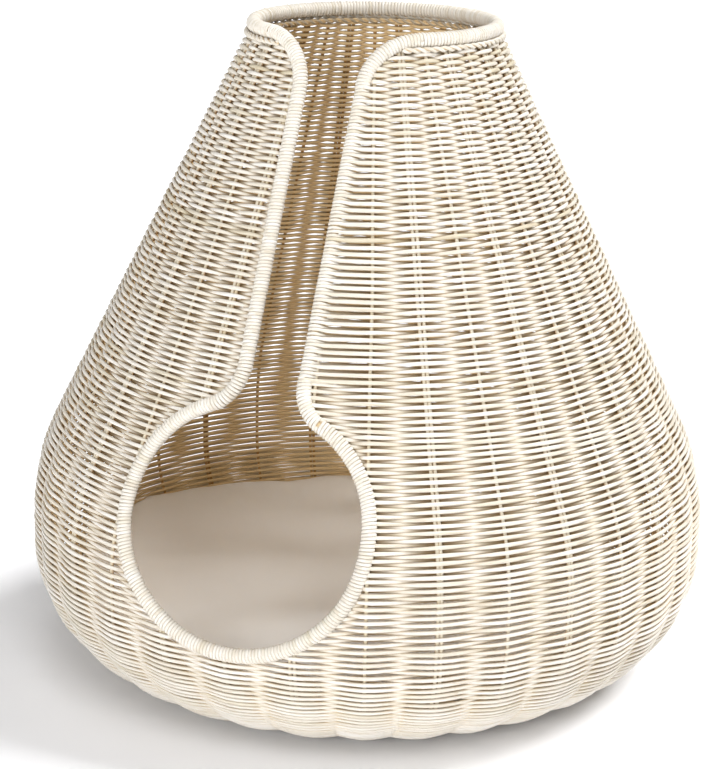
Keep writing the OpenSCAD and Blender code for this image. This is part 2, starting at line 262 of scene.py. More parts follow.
def joinStrands(strands):
    # Puts strands into one set of arrays, each one's faces counted on from the last
    starts = np.cumsum([0] + [len(s[0]) for s in strands[:-1]])
    verts = np.concatenate([s[0] for s in strands])
    faces = np.concatenate([s[1] + start for s, start in zip(strands, starts)])
    rest = [np.concatenate([s[n] for s in strands]) for n in (2, 3, 4, 5)]
    return verts, faces, *rest


def meshPiece(name, verts, faces, material, attributes):
    # A mesh object from arrays in mm; faces are all quads
    mesh = bpy.data.meshes.new(name)
    mesh.vertices.add(len(verts))
    mesh.vertices.foreach_set("co", (np.asarray(verts, float) * mm).ravel())
    sides = faces.shape[1]
    mesh.loops.add(faces.size)
    mesh.loops.foreach_set("vertex_index", faces.ravel().astype(np.int32))
    mesh.polygons.add(len(faces))
    mesh.polygons.foreach_set("loop_start", np.arange(0, faces.size, sides, dtype=np.int32))
    mesh.polygons.foreach_set("use_smooth", np.full(len(faces), True))
    mesh.update(calc_edges=True)
    for key, values in attributes.items():
        values = np.asarray(values, float)
        kind = "FLOAT_VECTOR" if values.ndim == 2 else "FLOAT"
        layer = mesh.attributes.new(key, kind, "POINT")
        layer.data.foreach_set("vector" if values.ndim == 2 else "value", values.ravel())
    mesh.materials.append(material)
    mesh.validate()
    piece = bpy.data.objects.new(name, mesh)
    bpy.context.scene.collection.objects.link(piece)
    return piece


def canePiece(name, strands, material, body="house", replaces=()):
    # One mesh of many strands, ridden on its body
    verts, faces, grain, tone, inside, gapShade = joinStrands(strands)
    piece = meshPiece(name, verts, faces, material, {"grain": grain, "tone": tone, "inside": inside,
                                                     "gapShade": gapShade})
    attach(piece, body)
    if replaces:
        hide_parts(*replaces)
    return piece


# ---- materials


def linear(hexText):
    # sRGB hex to linear: a straight part near black, then the power 2.4
    channels = [int(hexText[i:i + 2], 16) / 255 for i in (1, 3, 5)]
    return [c / 12.92 if c <= 0.04045 else ((c + 0.055) / 1.055) ** 2.4 for c in channels] + [1.0]


def addNode(tree, kind, inputs=None, **settings):
    # Adds a node with its settings; an input that is a socket is linked, any other is set
    added = tree.nodes.new(kind)
    for key, value in settings.items():
        setattr(added, key, value)
    for key, value in (inputs or {}).items():
        if isinstance(value, bpy.types.NodeSocket):
            tree.links.new(value, added.inputs[key])
        else:
            added.inputs[key].default_value = value
    return added


def newMaterial(name):
    # A material, its node tree and its shader
    material = bpy.data.materials.new(name)
    material.use_nodes = True
    tree = material.node_tree
    return material, tree, tree.nodes["Principled BSDF"]


def setRamp(rampNode, stops):
    # Sets a colour ramp's stops, each a place and a hex colour
    ramp = rampNode.color_ramp
    while len(ramp.elements) < len(stops):
        ramp.elements.new(0.5)
    for element, (place, colour) in zip(ramp.elements, stops):
        element.position = place
        element.color = linear(colour)


def caneMaterial(name, tones, innerShadeTone, rough):
    # Peeled rattan core, drawn to size and washed: cream with fibres that run along it and a
    # dull waxy sheen. Each length has its own tint. Painted shade: the inner sides and the back
    # rows' outer sides are tinted towards a tan tone for the warm shade inside the house, and the
    # sides that face into the weave's gaps are mixed towards dark brown for the shade there.
    material, tree, shader = newMaterial(name)
    grain = addNode(tree, "ShaderNodeAttribute", attribute_name="grain")
    tone = addNode(tree, "ShaderNodeAttribute", attribute_name="tone")
    inside = addNode(tree, "ShaderNodeAttribute", attribute_name="inside")
    gapShade = addNode(tree, "ShaderNodeAttribute", attribute_name="gapShade")
    tint = addNode(tree, "ShaderNodeValToRGB", {"Fac": tone.outputs["Fac"]})
    setRamp(tint, tones)
    shift = addNode(tree, "ShaderNodeCombineXYZ", {"X": tone.outputs["Fac"]})
    placed = addNode(tree, "ShaderNodeMapping", {"Vector": grain.outputs["Vector"],
                                                 "Scale": (0.045, 0.9, 0.9)})
    moved = addNode(tree, "ShaderNodeVectorMath", {0: shift.outputs[0], 1: (97.0, 0, 0)},
                    operation="MULTIPLY")
    along = addNode(tree, "ShaderNodeVectorMath", {0: placed.outputs[0], 1: moved.outputs[0]})
    streaks = addNode(tree, "ShaderNodeTexNoise", {"Vector": along.outputs[0], "Scale": 1.0, "Detail": 3.0})
    streakTone = addNode(tree, "ShaderNodeValToRGB", {"Fac": streaks.outputs["Fac"]})
    setRamp(streakTone, [(0.3, "#cbb48c"), (0.52, "#ffffff")])
    streaked = addNode(tree, "ShaderNodeMix", {0: 0.32, 6: tint.outputs[0], 7: streakTone.outputs[0]},
                       data_type="RGBA", blend_type="MULTIPLY")
    # Painted shade: inner sides and back rows' outer sides mix towards the tan inner shade tone
    innerShaded = addNode(tree, "ShaderNodeMix", {0: inside.outputs["Fac"], 6: streaked.outputs[2],
                                             7: linear(innerShadeTone)}, data_type="RGBA")
    # Painted shade: the sides facing into the weave's gaps mix towards dark brown
    gapShaded = addNode(tree, "ShaderNodeMix", {0: gapShade.outputs["Fac"], 6: innerShaded.outputs[2],
                                            7: linear("#7d6541")}, data_type="RGBA")
    fibres = addNode(tree, "ShaderNodeMapping", {"Vector": grain.outputs["Vector"],
                                                 "Scale": (0.12, 3.2, 3.2)})
    fibreNoise = addNode(tree, "ShaderNodeTexNoise", {"Vector": fibres.outputs[0], "Scale": 1.0,
                                                      "Detail": 2.0})
    bump = addNode(tree, "ShaderNodeBump", {"Height": fibreNoise.outputs["Fac"], "Strength": 0.35,
                                            "Distance": 0.25 * mm})
    tree.links.new(gapShaded.outputs[2], shader.inputs["Base Color"])
    tree.links.new(bump.outputs[0], shader.inputs["Normal"])
    shader.inputs["Roughness"].default_value = rough
    shader.inputs["IOR"].default_value = 1.45
    shader.inputs["Specular IOR Level"].default_value = 0.35
    return material


# The tan after each ramp is the painted warm shade of the inner sides
weftCane = caneMaterial("washedRattanCore", [(0.0, "#cbc1a9"), (0.3, "#d6cfc0"), (0.6, "#ded8cd"),
                                             (1.0, "#e4e0d9")], "#e9ce9f", 0.55)
stakeCane = caneMaterial("rattanStake", [(0.0, "#cdc0a2"), (0.5, "#ddd4c0"), (1.0, "#e5decf")],
                         "#cda26a", 0.6)

# ---- the rows


# Where the rows wrap the right rail by themselves, and how far out of its middle they lie
straightRail = rightLine[np.abs(rightLine[:, 0] - house["railRight"]) < 0.01, 1]
railFrom, railTo = straightRail.min() + 2, straightRail.max() - 2
railReach = rimRadius - weave["weftRadius"]
railTop = railReach - house["rimInset"]


def rowLevels():
    # Runs up the wall at which the rows lie, tight over the foot and even above
    start = math.radians(weave["startsAt"]) * house["bowlRadius"]
    wallEnd = (house["ringZ"] - rimRadius - 1.5 - shoulderZ
               - house["shoulderRadius"] * math.sin(coneTilt)) / math.cos(coneTilt) + shoulderRun
    levels = [start]
    while levels[-1] < wallEnd:
        share = np.clip(levels[-1] / weave["tightUntil"], 0, 1)
        levels.append(levels[-1] + weave["footPitch"] + (weave["pitch"] - weave["footPitch"]) * share)
    return np.array(levels[:-1])


def rowSpan(run):
    # Azimuths where a row begins and ends, and whether it stops at the opening
    radius, height, tilt = wallAt(run, middle)
    edges = openingAt(float(height))
    if edges is None:
        start = weave["phase"] + stakeStep * (rng.integers(8, 24) + 0.5)
        return start, start + 361.0, False
    left, right = [math.degrees(math.asin(x / float(radius))) for x in edges]
    return right, left + 360.0, True


def rowStakes(start, end, stops, row, wrapped, radius):
    # Places that the row weaves round, and its swing at each: the stakes between its ends,
    # out and in by turns, and the rim at both. A wrapped row starts on top of the rail.
    first = math.ceil((start - weave["phase"]) / stakeStep)
    last = math.floor((end - weave["phase"]) / stakeStep)
    index = np.arange(first, last + 1)
    place = weave["phase"] + index * stakeStep
    half = np.where(index % 2 == 0, weave["singleHalf"], weave["doubleHalf"])
    if stops:
        nearest = math.degrees(7.0 / radius) if wrapped else 1.8
        keep = (place - start > nearest) & (end - place > 1.8)
        index, place, half = index[keep], place[keep], half[keep]
        place = np.concatenate([[start], place, [end]])
        index = np.concatenate([[index[0] - 1], index, [index[-1] + 1]])
        half = np.concatenate([[2.0], half, [2.0]])
    else:
        place = np.concatenate([[place[0] - stakeStep], place, [place[-1] + stakeStep]])
        index = np.concatenate([[index[0] - 1], index, [index[-1] + 1]])
        half = np.concatenate([[half[1]], half, [half[-2]]])
    swing = np.where((index + row) % 2 == 0, 1.0, -1.0)
    if wrapped:
        half[0] = 0.5
        swing[0] = (railTop - middle) / rowDepth
        dive = start + math.degrees(9.0 / radius)
        if place[1] - dive > math.degrees(4.0 / radius):
            place = np.insert(place, 1, dive)
            half = np.insert(half, 1, 0.5)
            swing = np.insert(swing, 1, 0.8 if swing[1] > 0 else -0.6)
    return place, half, swing


def rowWave(azimuth, place, half, swing, radius):
    # Goes from one side of a stake to the other side of the next: flat where it hugs the
    # stake, and half cosine, half straight between them
    k = np.clip(np.searchsorted(place, azimuth, side="right") - 1, 0, len(place) - 2)
    gap = place[k + 1] - place[k]
    length = np.radians(gap) * radius
    t = (azimuth - place[k]) / gap
    a = np.minimum(half[k] / length, 0.3)
    b = np.minimum(half[k + 1] / length, 0.3)
    t = np.clip((t - a) / (1 - a - b), 0, 1)
    share = 0.5 - 0.25 * np.cos(math.pi * t) - 0.25 * (1 - 2 * t)
    return swing[k] + (swing[k + 1] - swing[k]) * share


def smoothNoise(azimuth, count, size):
    # Random values at even azimuths, joined by a smooth curve round the house
    values = rng.normal(0, size, count)
    u = (azimuth % 360.0) / 360.0 * count
    k = np.floor(u).astype(int)
    t = u - k
    t = t * t * (3 - 2 * t)
    return values[k % count] * (1 - t) + values[(k + 1) % count] * t


# Slow waves of the whole weave, from the maker's hand: size in mm, turns, phase, and rise
handWaves = [(1.1, 1, 0.7, 0.004), (0.7, 2, 2.1, 0.009), (0.45, 3, 4.0, 0.017), (0.3, 5, 1.3, 0.03)]


def handDrift(run, azimuth):
    a = np.radians(azimuth)
    drift = sum(size * np.sin(turns * a + phase + rise * run * 2 * math.pi)
                for size, turns, phase, rise in handWaves)
    return drift * np.clip(run / 80, 0, 1) * np.clip((570 - run) / 60, 0, 1)


# Tight places where the maker parted two rows: azimuth, run, opening in mm, half width in mm
parted = [(8.5, 408.0, 0.7, 22.0), (27.0, 150.0, 1.2, 26.0), (36.0, 122.0, 1.3, 20.0),
          (52.0, 214.0, 0.8, 24.0), (-34.0, 300.0, 0.7, 20.0), (70.0, 330.0, 0.7, 20.0),
          (150.0, 240.0, 1.0, 24.0), (205.0, 360.0, 0.8, 22.0), (265.0, 190.0, 1.1, 26.0),
          (310.0, 142.0, 1.0, 22.0), (18.0, 96.0, 0.9, 22.0)]


def partedShift(run, azimuth, radius):
    # Pushes rows away from a parted place: up above it and down below it, fading with distance
    shift = np.zeros_like(azimuth)
    for place, level, opening, width in parted:
        off = np.radians((azimuth - place + 180) % 360 - 180) * radius
        rise = run - level
        shift += opening * math.tanh(rise / 2) * math.exp(-(rise / 22) ** 2) * np.exp(-(off / width) ** 2)
    return shift


def railLoop(run, azimuth):
    # A row's end on the right rail: it comes round the cane from the inner side, a part of
    # a circle in the level plane about the rim's middle
    middlePoint, normal = onWall(run, azimuth, -house["rimInset"])
    a = math.radians(azimuth)
    sideways = np.array([math.cos(a), math.sin(a), 0.0])
    turn = np.radians(np.linspace(-205, -14, 12))
    around = np.cos(turn)[:, None] * normal + np.sin(turn)[:, None] * sideways
    return middlePoint + railReach * around, around


def rowStrand(row, run):
    # One row: level is its run plus the hand's drift, a small noise and the parted places;
    # out is the weave's middle plus the row's depth times its swing
    start, end, stops = rowSpan(run)
    height = float(wallAt(run, middle)[1])
    wrapped = stops and railFrom < height < railTo
    count = int(round((end - start) / stakeStep * weave["stepsPerStake"])) + 1
    azimuth = np.linspace(start, end, count)
    radius = float(wallAt(run, middle)[0])
    if wrapped:
        nearby = start + np.degrees(np.array([0, 2.0, 4.0, 6.0, 8.0, 11.0]) / radius)
        azimuth = np.concatenate([nearby, azimuth[azimuth > nearby[-1] + 0.8]])
    place, half, turns = rowStakes(start, end, stops, row, wrapped, radius)
    swing = rowWave(azimuth, place, half, turns, radius)
    level = run + handDrift(run, azimuth) + smoothNoise(azimuth, 64, weave["wander"])
    level = level + partedShift(run, azimuth, radius)
    out = middle + rowDepth * swing + smoothNoise(azimuth, 48, 0.12)
    path, normal = onWall(level, azimuth, out)
    if wrapped:
        loop, around = railLoop(level[0], start)
        path = np.concatenate([loop, path])
        normal = np.concatenate([around, normal])
        swing = np.concatenate([np.full(len(loop), 0.9), np.clip(swing, -1, 1)])
        azimuth = np.concatenate([np.full(len(loop), start), azimuth])
    joinAt = rng.uniform(start, end)
    before, after = np.clip(rng.normal(0.62, 0.2, 2), 0, 1)
    tone = np.where(azimuth < joinAt, before, after)
    thick = weave["weftRadius"] * (1 + smoothNoise(azimuth, 24, 0.03) + rng.normal(0, 0.02))
    broad = 1 + weave["press"] * np.abs(swing) ** 1.3
    if wrapped:
        broad = np.where(np.radians(azimuth - start) * radius < 7, 1.0, broad)
    return strand(path, normal, thick, weave["sides"], tone, swing, broad)


def nodeRuns():
    # The courses of the CAD wall, each with the run where it ends
    cosTilt = math.cos(coneTilt)
    coneFrom = shoulderZ + house["shoulderRadius"] * math.sin(coneTilt)
    return [
        ("weftFoot", "weft_foot", bowlRun / 2),
        ("weftBowl", "weft_bowl", bowlRun),
        ("weftBelly", "weft_belly", bellyRun + math.radians(14) * house["shoulderRadius"]),
        ("weftShoulder", "weft_shoulder", shoulderRun),
        ("weftConeLow", "weft_cone_low", shoulderRun + (300 - coneFrom) / cosTilt),
        ("weftConeMid", "weft_cone_mid", shoulderRun + (410 - coneFrom) / cosTilt),
        ("weftConeHigh", "weft_cone_high", 1e9),
    ]


levels = rowLevels()
rows = [rowStrand(row, run) for row, run in enumerate(levels)]
fromRun = -1e9
for pieceName, nodeName, toRun in nodeRuns():
    chosen = [rows[i] for i in np.flatnonzero((levels > fromRun) & (levels <= toRun))]
    canePiece(pieceName, chosen, weftCane, replaces=(nodeName,))
    fromRun = toRun
print("stage: wall of", len(levels), "rows")

# ---- the stakes


def stakeStrands(index):
    # Uprights at one place, cut where the opening is: one alone or a pair side by side
    azimuth = weave["phase"] + index * stakeStep
    shifts = [0.0] if index % 2 == 0 else [-weave["stakeRadius"] - 0.15, weave["stakeRadius"] + 0.15]
    runs = np.linspace(math.radians(weave["stakesFrom"]) * house["bowlRadius"], levels[-1] + 3, 90)
    made = []
    for shift in shifts:
        level, out = runs, middle + 0 * runs
        radius, height, tilt = wallAt(level, out)
        lean = azimuth + np.degrees((shift + smoothNoise(runs * 0.55 + index * 40, 9, 0.25)) / radius)
        path, normal = onWall(level, lean, out)
        edges = np.array([openingAt(z) or (1e9, 1e9) for z in path[:, 2]])
        clear = rimRadius * 0.6
        hidden = (path[:, 1] < 0) & (path[:, 0] > edges[:, 0] - clear) & (path[:, 0] < edges[:, 1] + clear)
        tone = np.clip(rng.normal(0.5, 0.2), 0, 1)
        breaks = np.flatnonzero(np.diff(hidden.astype(int))) + 1
        for part in np.split(np.arange(len(runs)), breaks):
            if len(part) > 2 and not hidden[part[0]]:
                made.append(strand(path[part], normal[part], weave["stakeRadius"], 8, tone))
    return made


single = [s for i in range(0, weave["stakeCount"], 2) for s in stakeStrands(i)]
double = [s for i in range(1, weave["stakeCount"], 2) for s in stakeStrands(i)]
canePiece("stakesSingle", single, stakeCane, replaces=("stakes_single",))
canePiece("stakesDouble", double, stakeCane, replaces=("stakes_double",))
print("stage: stakes")

# ---- the wrapped rim

rimWrap = {
    "strandRadius": 1.2,
    "broad": 1.16,
    "pitch": 2.66,
    "ringPitch": 2.75,
    "stepsPerTurn": 12,
    "sides": 6,
    "wander": 0.09,         # how unevenly the turns lie
    "tone": 0.66,
    "toneSpread": 0.16,
    "overlap": 2.6,         # how far the winding runs in under the rows' own loops
}


def evenPath(path, step):
    # The same path with points at an even step along it
    run = np.concatenate([[0], np.cumsum(np.linalg.norm(np.diff(path, axis=0), axis=1))])
    even = np.linspace(0, run[-1], max(int(run[-1] / step), 8))
    return np.stack([np.interp(even, run, path[:, n]) for n in range(3)], -1), even


def wrapStrand(path, pitch):
    # A strand wound round a cane: the cane's path plus a circle that turns once each pitch
    step = pitch / rimWrap["stepsPerTurn"]
    centre, run = evenPath(path, step)
    flatOut = centre * np.array([1, 1, 0])
    outward, side = frameAlong(centre, flatOut / np.linalg.norm(flatOut, axis=1, keepdims=True))
    angle = 2 * math.pi * run / pitch
    turn = np.cos(angle)[:, None] * outward + np.sin(angle)[:, None] * side
    turns = int(run[-1] / pitch) + 2
    turnOf = np.minimum((run / pitch).astype(int), turns - 1)
    each = rng.normal(0, rimWrap["wander"], turns)[turnOf]
    wound = rimRadius - rimWrap["strandRadius"] + each
    coil = centre + wound[:, None] * turn
    tone = np.clip(rimWrap["tone"] + rng.normal(0, rimWrap["toneSpread"], turns)[turnOf], 0, 1)
    # A depth of 0.9 keeps the painted tan shade to the wrap's inner side
    return strand(coil, turn, rimWrap["strandRadius"], rimWrap["sides"], tone, np.full(len(coil), 0.9),
                  rimWrap["broad"])


def ringPath():
    # The top ring from the right corner round the back to the left corner
    radius = float(wallRadius(house["ringZ"])) - house["rimInset"]
    start = math.degrees(math.asin((house["railRight"] + house["cornerRight"]) / radius))
    end = 360 - math.degrees(math.asin((house["railLeft"] + house["cornerLeft"]) / radius))
    a = np.radians(np.linspace(start, end, 600))
    return np.stack([radius * np.sin(a), -radius * np.cos(a), np.full(600, house["ringZ"])], -1)


canePiece("rimWrapRing", [wrapStrand(ringPath(), rimWrap["ringPitch"])], weftCane,
          replaces=("rim_wrap_ring",))
canePiece("rimWrapLeft", [wrapStrand(onRim(leftLine), rimWrap["pitch"])], weftCane,
          replaces=("rim_wrap_left",))
above = wrapStrand(onRim(rightLine[rightLine[:, 1] > railTo - rimWrap["overlap"]]), rimWrap["pitch"])
below = wrapStrand(onRim(rightLine[rightLine[:, 1] < railFrom + rimWrap["overlap"]]), rimWrap["pitch"])
canePiece("rimWrapRight", [above, below], weftCane, replaces=("rim_wrap_right",))
canePiece("rimWrapEntry", [wrapStrand(onRim(entryLine), rimWrap["pitch"])], weftCane,
          replaces=("rim_wrap_entry",))
print("stage: rim")

# ---- twined borders under the ring and the foot border

border = {
    "strandRadius": 1.3,
    "twistRadius": 1.25,
    "twistPitch": 15.0,
    "down": 0.6,            # below the ring's underside
    "past": 9.0,            # degrees past the ring's ends, under the corners
}


def twineStrands(centre, up, twistRadius, twistPitch, strandRadius, count, tones, depth=0.8):
    # Strands twisted round each other: each circles the middle path, evenly spaced in turn
    path, run = evenPath(centre, twistPitch / 12)
    ups = np.stack([np.interp(np.linspace(0, 1, len(path)), np.linspace(0, 1, len(up)), up[:, n])
                    for n in range(3)], -1)
    outward, side = frameAlong(path, ups)
    made = []
    for n in range(count):
        angle = 2 * math.pi * (run / twistPitch + n / count)
        turn = np.cos(angle)[:, None] * outward + np.sin(angle)[:, None] * side
        made.append(strand(path + twistRadius * turn, turn, strandRadius, 8, tones[n],
                           np.full(len(path), depth)))
    return made


def borderPath(out):
    # The border's middle: a level line on the wall, a little below the ring's underside
    ring = ringPath()
    azimuth = np.degrees(np.unwrap(np.arctan2(ring[:, 0], -ring[:, 1])))
    azimuth = np.linspace(azimuth[0] - border["past"], azimuth[-1] + border["past"], 500)
    z = house["ringZ"] - rimRadius - border["down"]
    run = shoulderRun + (z - shoulderZ - house["shoulderRadius"] * math.sin(coneTilt)) / math.cos(coneTilt)
    return onWall(run, azimuth, out)


# The depth here sets only painted shade: at 0.8 the tan falls on the outer border's inner side, below zero
# the inner border's outward faces turn tan and dark brown
for pieceName, nodeName, out, depth in (("borderOuter", "border_outer", -0.4, 0.8),
                                        ("borderInner", "border_inner", 2 * middle + 0.6, -0.6)):
    path, normal = borderPath(out)
    twined = twineStrands(path, normal, border["twistRadius"], border["twistPitch"],
                          border["strandRadius"], 2, (0.7, 0.45), depth)
    canePiece(pieceName, twined, weftCane, replaces=(nodeName,))

footRing = {"strandRadius": 2.3, "twistRadius": 2.6, "twistPitch": 30.0, "radius": 178.0}
a = np.radians(np.linspace(0, 360.5, 700))
footZ = footRing["strandRadius"] + footRing["twistRadius"]
footPath = np.stack([footRing["radius"] * np.sin(a), -footRing["radius"] * np.cos(a),
                     np.full(700, footZ)], -1)
footUp = np.stack([0 * a, 0 * a, 0 * a - 1], -1)
canePiece("footBorder", twineStrands(footPath, footUp, footRing["twistRadius"], footRing["twistPitch"],
                                     footRing["strandRadius"], 3, (0.6, 0.4, 0.5)),
          weftCane, replaces=("foot_border",))
print("stage: borders")

# ---- the woven base

base = {
    "middleZ": 6.6,
    "swing": 2.6,
    "inner": 30.0,
    "outer": 166.0,
    "pitch": 2.7,
    "strandRadius": 1.3,
}


def baseRow(row, radius):
    # A round of the base: a circle whose height goes by the cosine over and under the spokes
    start = weave["phase"] + stakeStep * (rng.integers(0, 32) + 0.5)
    steps = weave["stepsPerStake"] if radius > 90 else 4
    azimuth = np.linspace(start, start + 361, weave["stakeCount"] * steps + 1)
    swing = np.cos(math.pi * (azimuth - weave["phase"]) / stakeStep) * (1 if row % 2 == 0 else -1)
    level = radius + smoothNoise(azimuth, 40, 0.12)
    a = np.radians(azimuth)
    path = np.stack([level * np.sin(a), -level * np.cos(a), base["middleZ"] - base["swing"] * swing], -1)
    up = np.tile([0.0, 0.0, -1.0], (len(a), 1))
    return strand(path, up, base["strandRadius"], weave["sides"], np.clip(rng.normal(0.5, 0.2), 0, 1), swing)


baseRows = [baseRow(row, radius) for row, radius in
            enumerate(np.arange(base["inner"], base["outer"], base["pitch"]))]
canePiece("baseWeave", baseRows, weftCane, replaces=("base_weave",))
print("stage: base")

# ---- the cushion

pad = {
    "swell": 5.0,           # how far the filling may push the cover, mm
    "pressure": 4.0,
    "stiffness": 8.0,
    "fallFrames": 20,       # steps of the cloth run
    "voxel": 5.0,
    "crease": 4.6,          # height of its soft folds, mm
    "spread": 9.0,          # how far its side leans out to the wall, away from the zip
    "zipMiddle": 100.0,     # azimuth
    "leftRise": 30.0,       # it lies higher where it was pushed against the left of the wall
    "leftMiddle": 265.0,
    "leftWidth": 38.0,      # degrees
}
padBox = boxMm("cushion_top")
padLow = boxMm("cushion_bottom")
padRadius = padBox[1][0]
seamZ = padLow[1][2]
crownZ = padBox[1][2]
padFloor = padLow[0][2]


def padShape(shrink):
    # A round pillow: a crowned top and a bowl-shaped underside that meet at the seam
    around = 144
    top = np.sin(np.linspace(0, math.pi / 2, 26))
    r = np.concatenate([top, top[-2::-1]])
    upper = seamZ + (crownZ - seamZ) * (1 - top ** 4) ** 0.6
    lower = seamZ - (seamZ - padFloor) * ((1 - top ** 2.6) ** 0.75)[::-1]
    z = np.concatenate([upper, lower[1:]])
    r = r * (padRadius - shrink)
    middleZ = (crownZ + padFloor) / 2
    z = middleZ + (z - middleZ) * (1 - 2 * shrink / (crownZ - padFloor))
    a = np.linspace(0, 2 * math.pi, around, endpoint=False)
    ringR, ringZ = r[1:-1], z[1:-1]
    awayFromZip = np.clip((np.abs((np.degrees(a) - pad["zipMiddle"] + 180) % 360 - 180) - 46) / 22, 0, 1)
    lean = 1 + pad["spread"] / padRadius * awayFromZip ** 2 * (3 - 2 * awayFromZip)
    verts = np.stack([np.outer(ringR, lean * np.sin(a)), np.outer(ringR, -lean * np.cos(a)),
                      np.repeat(ringZ[:, None], around, 1)], -1).reshape(-1, 3)
    i = np.arange(len(ringR) - 1)[:, None] * around
    k = np.arange(around)[None, :]
    n = (k + 1) % around
    quads = np.stack([i + k, i + around + k, i + around + n, i + n], -1).reshape(-1, 4).tolist()
    topCap = list(range(around))
    lowCap = [(len(ringR) - 1) * around + j for j in range(around)][::-1]
    return verts, quads, topCap, lowCap


def creaseHeight(x, y):
    # Soft folds of the cover: long swells that lean different ways, short wrinkles that fade
    # to the middle, and a rise to the left
    reach = np.clip(np.hypot(x, y) / padRadius, 0, 1)
    azimuth = np.arctan2(x, -y)
    swells = np.sin(x / 27 + 1.3 * np.sin(y / 45)) * 0.5 + np.sin(y / 21 - x / 47 + 2.0) * 0.5
    wrinkles = (np.sin(azimuth * 17 + 3 * reach) * np.sin(azimuth * 5 + 1) * 0.5
                + np.sin((x + y) / 15 + 2 * np.sin(x / 29)) * 0.18)
    off = azimuth - math.radians(pad["leftMiddle"])
    off = np.degrees(np.arctan2(np.sin(off), np.cos(off)))
    rise = pad["leftRise"] * np.exp(-(off / pad["leftWidth"]) ** 2) * reach ** 4
    return pad["crease"] * (swells + wrinkles * reach ** 4) + rise


def makeCushion(material):
    # The pillow is remeshed and puffed by a short cloth run. Each point moves no further
    # than the swell, and the folds are added to its upper side.
    verts, quads, topCap, lowCap = padShape(pad["swell"] * 0.6)
    mesh = bpy.data.meshes.new("cushion")
    mesh.from_pydata((verts * mm).tolist(), [], quads + [topCap, lowCap])
    piece = bpy.data.objects.new("cushion", mesh)
    bpy.context.scene.collection.objects.link(piece)
    bpy.context.view_layer.objects.active = piece
    remesh = piece.modifiers.new("voxels", "REMESH")
    remesh.mode = "VOXEL"
    remesh.voxel_size = pad["voxel"] * mm
    bpy.ops.object.modifier_apply(modifier=remesh.name)
    before = np.empty(len(piece.data.vertices) * 3)
    piece.data.vertices.foreach_get("co", before)
    before = before.reshape(-1, 3)
    after = before.copy()
    cloth = piece.modifiers.new("cloth", "CLOTH")
    cloth.settings.use_pressure = True
    cloth.settings.uniform_pressure_force = pad["pressure"]
    cloth.settings.effector_weights.gravity = 0
    cloth.settings.tension_stiffness = pad["stiffness"]
    cloth.settings.compression_stiffness = pad["stiffness"]
    for f in range(1, pad["fallFrames"] + 1):
        bpy.context.scene.frame_set(f)
    graph = bpy.context.evaluated_depsgraph_get()
    done = piece.evaluated_get(graph).to_mesh()
    flat = np.empty(len(done.vertices) * 3)
    done.vertices.foreach_get("co", flat)
    after = flat.reshape(-1, 3)
    piece.modifiers.remove(cloth)
    bpy.context.scene.frame_set(1)
    move = after - before
    length = np.linalg.norm(move, axis=1, keepdims=True)
    move *= np.minimum(1, pad["swell"] * mm / np.maximum(length, 1e-9))
    placed = before + move
    upper = np.clip((placed[:, 2] / mm - seamZ) / 8, 0, 1)
    placed[:, 2] += creaseHeight(placed[:, 0] / mm, placed[:, 1] / mm) * mm * upper
    reach = np.hypot(placed[:, 0], placed[:, 1])
    most = (padRadius + pad["spread"]) * mm
    placed[:, :2] *= np.minimum(1, most / np.maximum(reach, 1e-9))[:, None]
    placed[:, 2] = np.maximum(placed[:, 2], (padFloor - 0.3) * mm)
    piece.data.vertices.foreach_set("co", placed.ravel())
    piece.data.polygons.foreach_set("use_smooth", np.full(len(piece.data.polygons), True))
    piece.data.materials.append(material)
    smooth = piece.modifiers.new("smooth", "SUBSURF")
    smooth.levels = 1
    smooth.render_levels = 1
    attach(piece, "cushion")
    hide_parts("cushion_top", "cushion_bottom", "cushion_filling")
    return piece


def canvasMaterial():
    # Unbleached cotton canvas: matt off-white, plain weave of threads 0.6 mm apart, drawn
    # 1.2 mm apart so that it shows, with soft uneven toning
    material, tree, shader = newMaterial("cottonCanvas")
    place = addNode(tree, "ShaderNodeTexCoord")
    weftThread = addNode(tree, "ShaderNodeTexWave", {"Vector": place.outputs["Object"], "Scale": 260.0,
                                                     "Distortion": 1.2, "Detail": 1.0, "Detail Scale": 2.0},
                         bands_direction="X")
    warpThread = addNode(tree, "ShaderNodeTexWave", {"Vector": place.outputs["Object"], "Scale": 260.0,
                                                     "Distortion": 1.2, "Detail": 1.0, "Detail Scale": 2.0},
                         bands_direction="Y")
    threads = addNode(tree, "ShaderNodeMath", {0: weftThread.outputs["Fac"], 1: warpThread.outputs["Fac"]},
                      operation="ADD")
    cloud = addNode(tree, "ShaderNodeTexNoise", {"Vector": place.outputs["Object"], "Scale": 9.0,
                                                 "Detail": 4.0})
    tint = addNode(tree, "ShaderNodeValToRGB", {"Fac": cloud.outputs["Fac"]})
    setRamp(tint, [(0.3, "#f3f0eb"), (0.7, "#f8f6f3")])
    bump = addNode(tree, "ShaderNodeBump", {"Height": threads.outputs[0], "Strength": 0.25,
                                            "Distance": 0.12 * mm})
    tree.links.new(tint.outputs[0], shader.inputs["Base Color"])
    tree.links.new(bump.outputs[0], shader.inputs["Normal"])
    shader.inputs["Roughness"].default_value = 0.9
    shader.inputs["Specular IOR Level"].default_value = 0.25
    shader.inputs["Sheen Weight"].default_value = 0.15
    return material


canvas = canvasMaterial()
makeCushion(canvas)
print("stage: cushion")

# ---- CAD nodes that stay


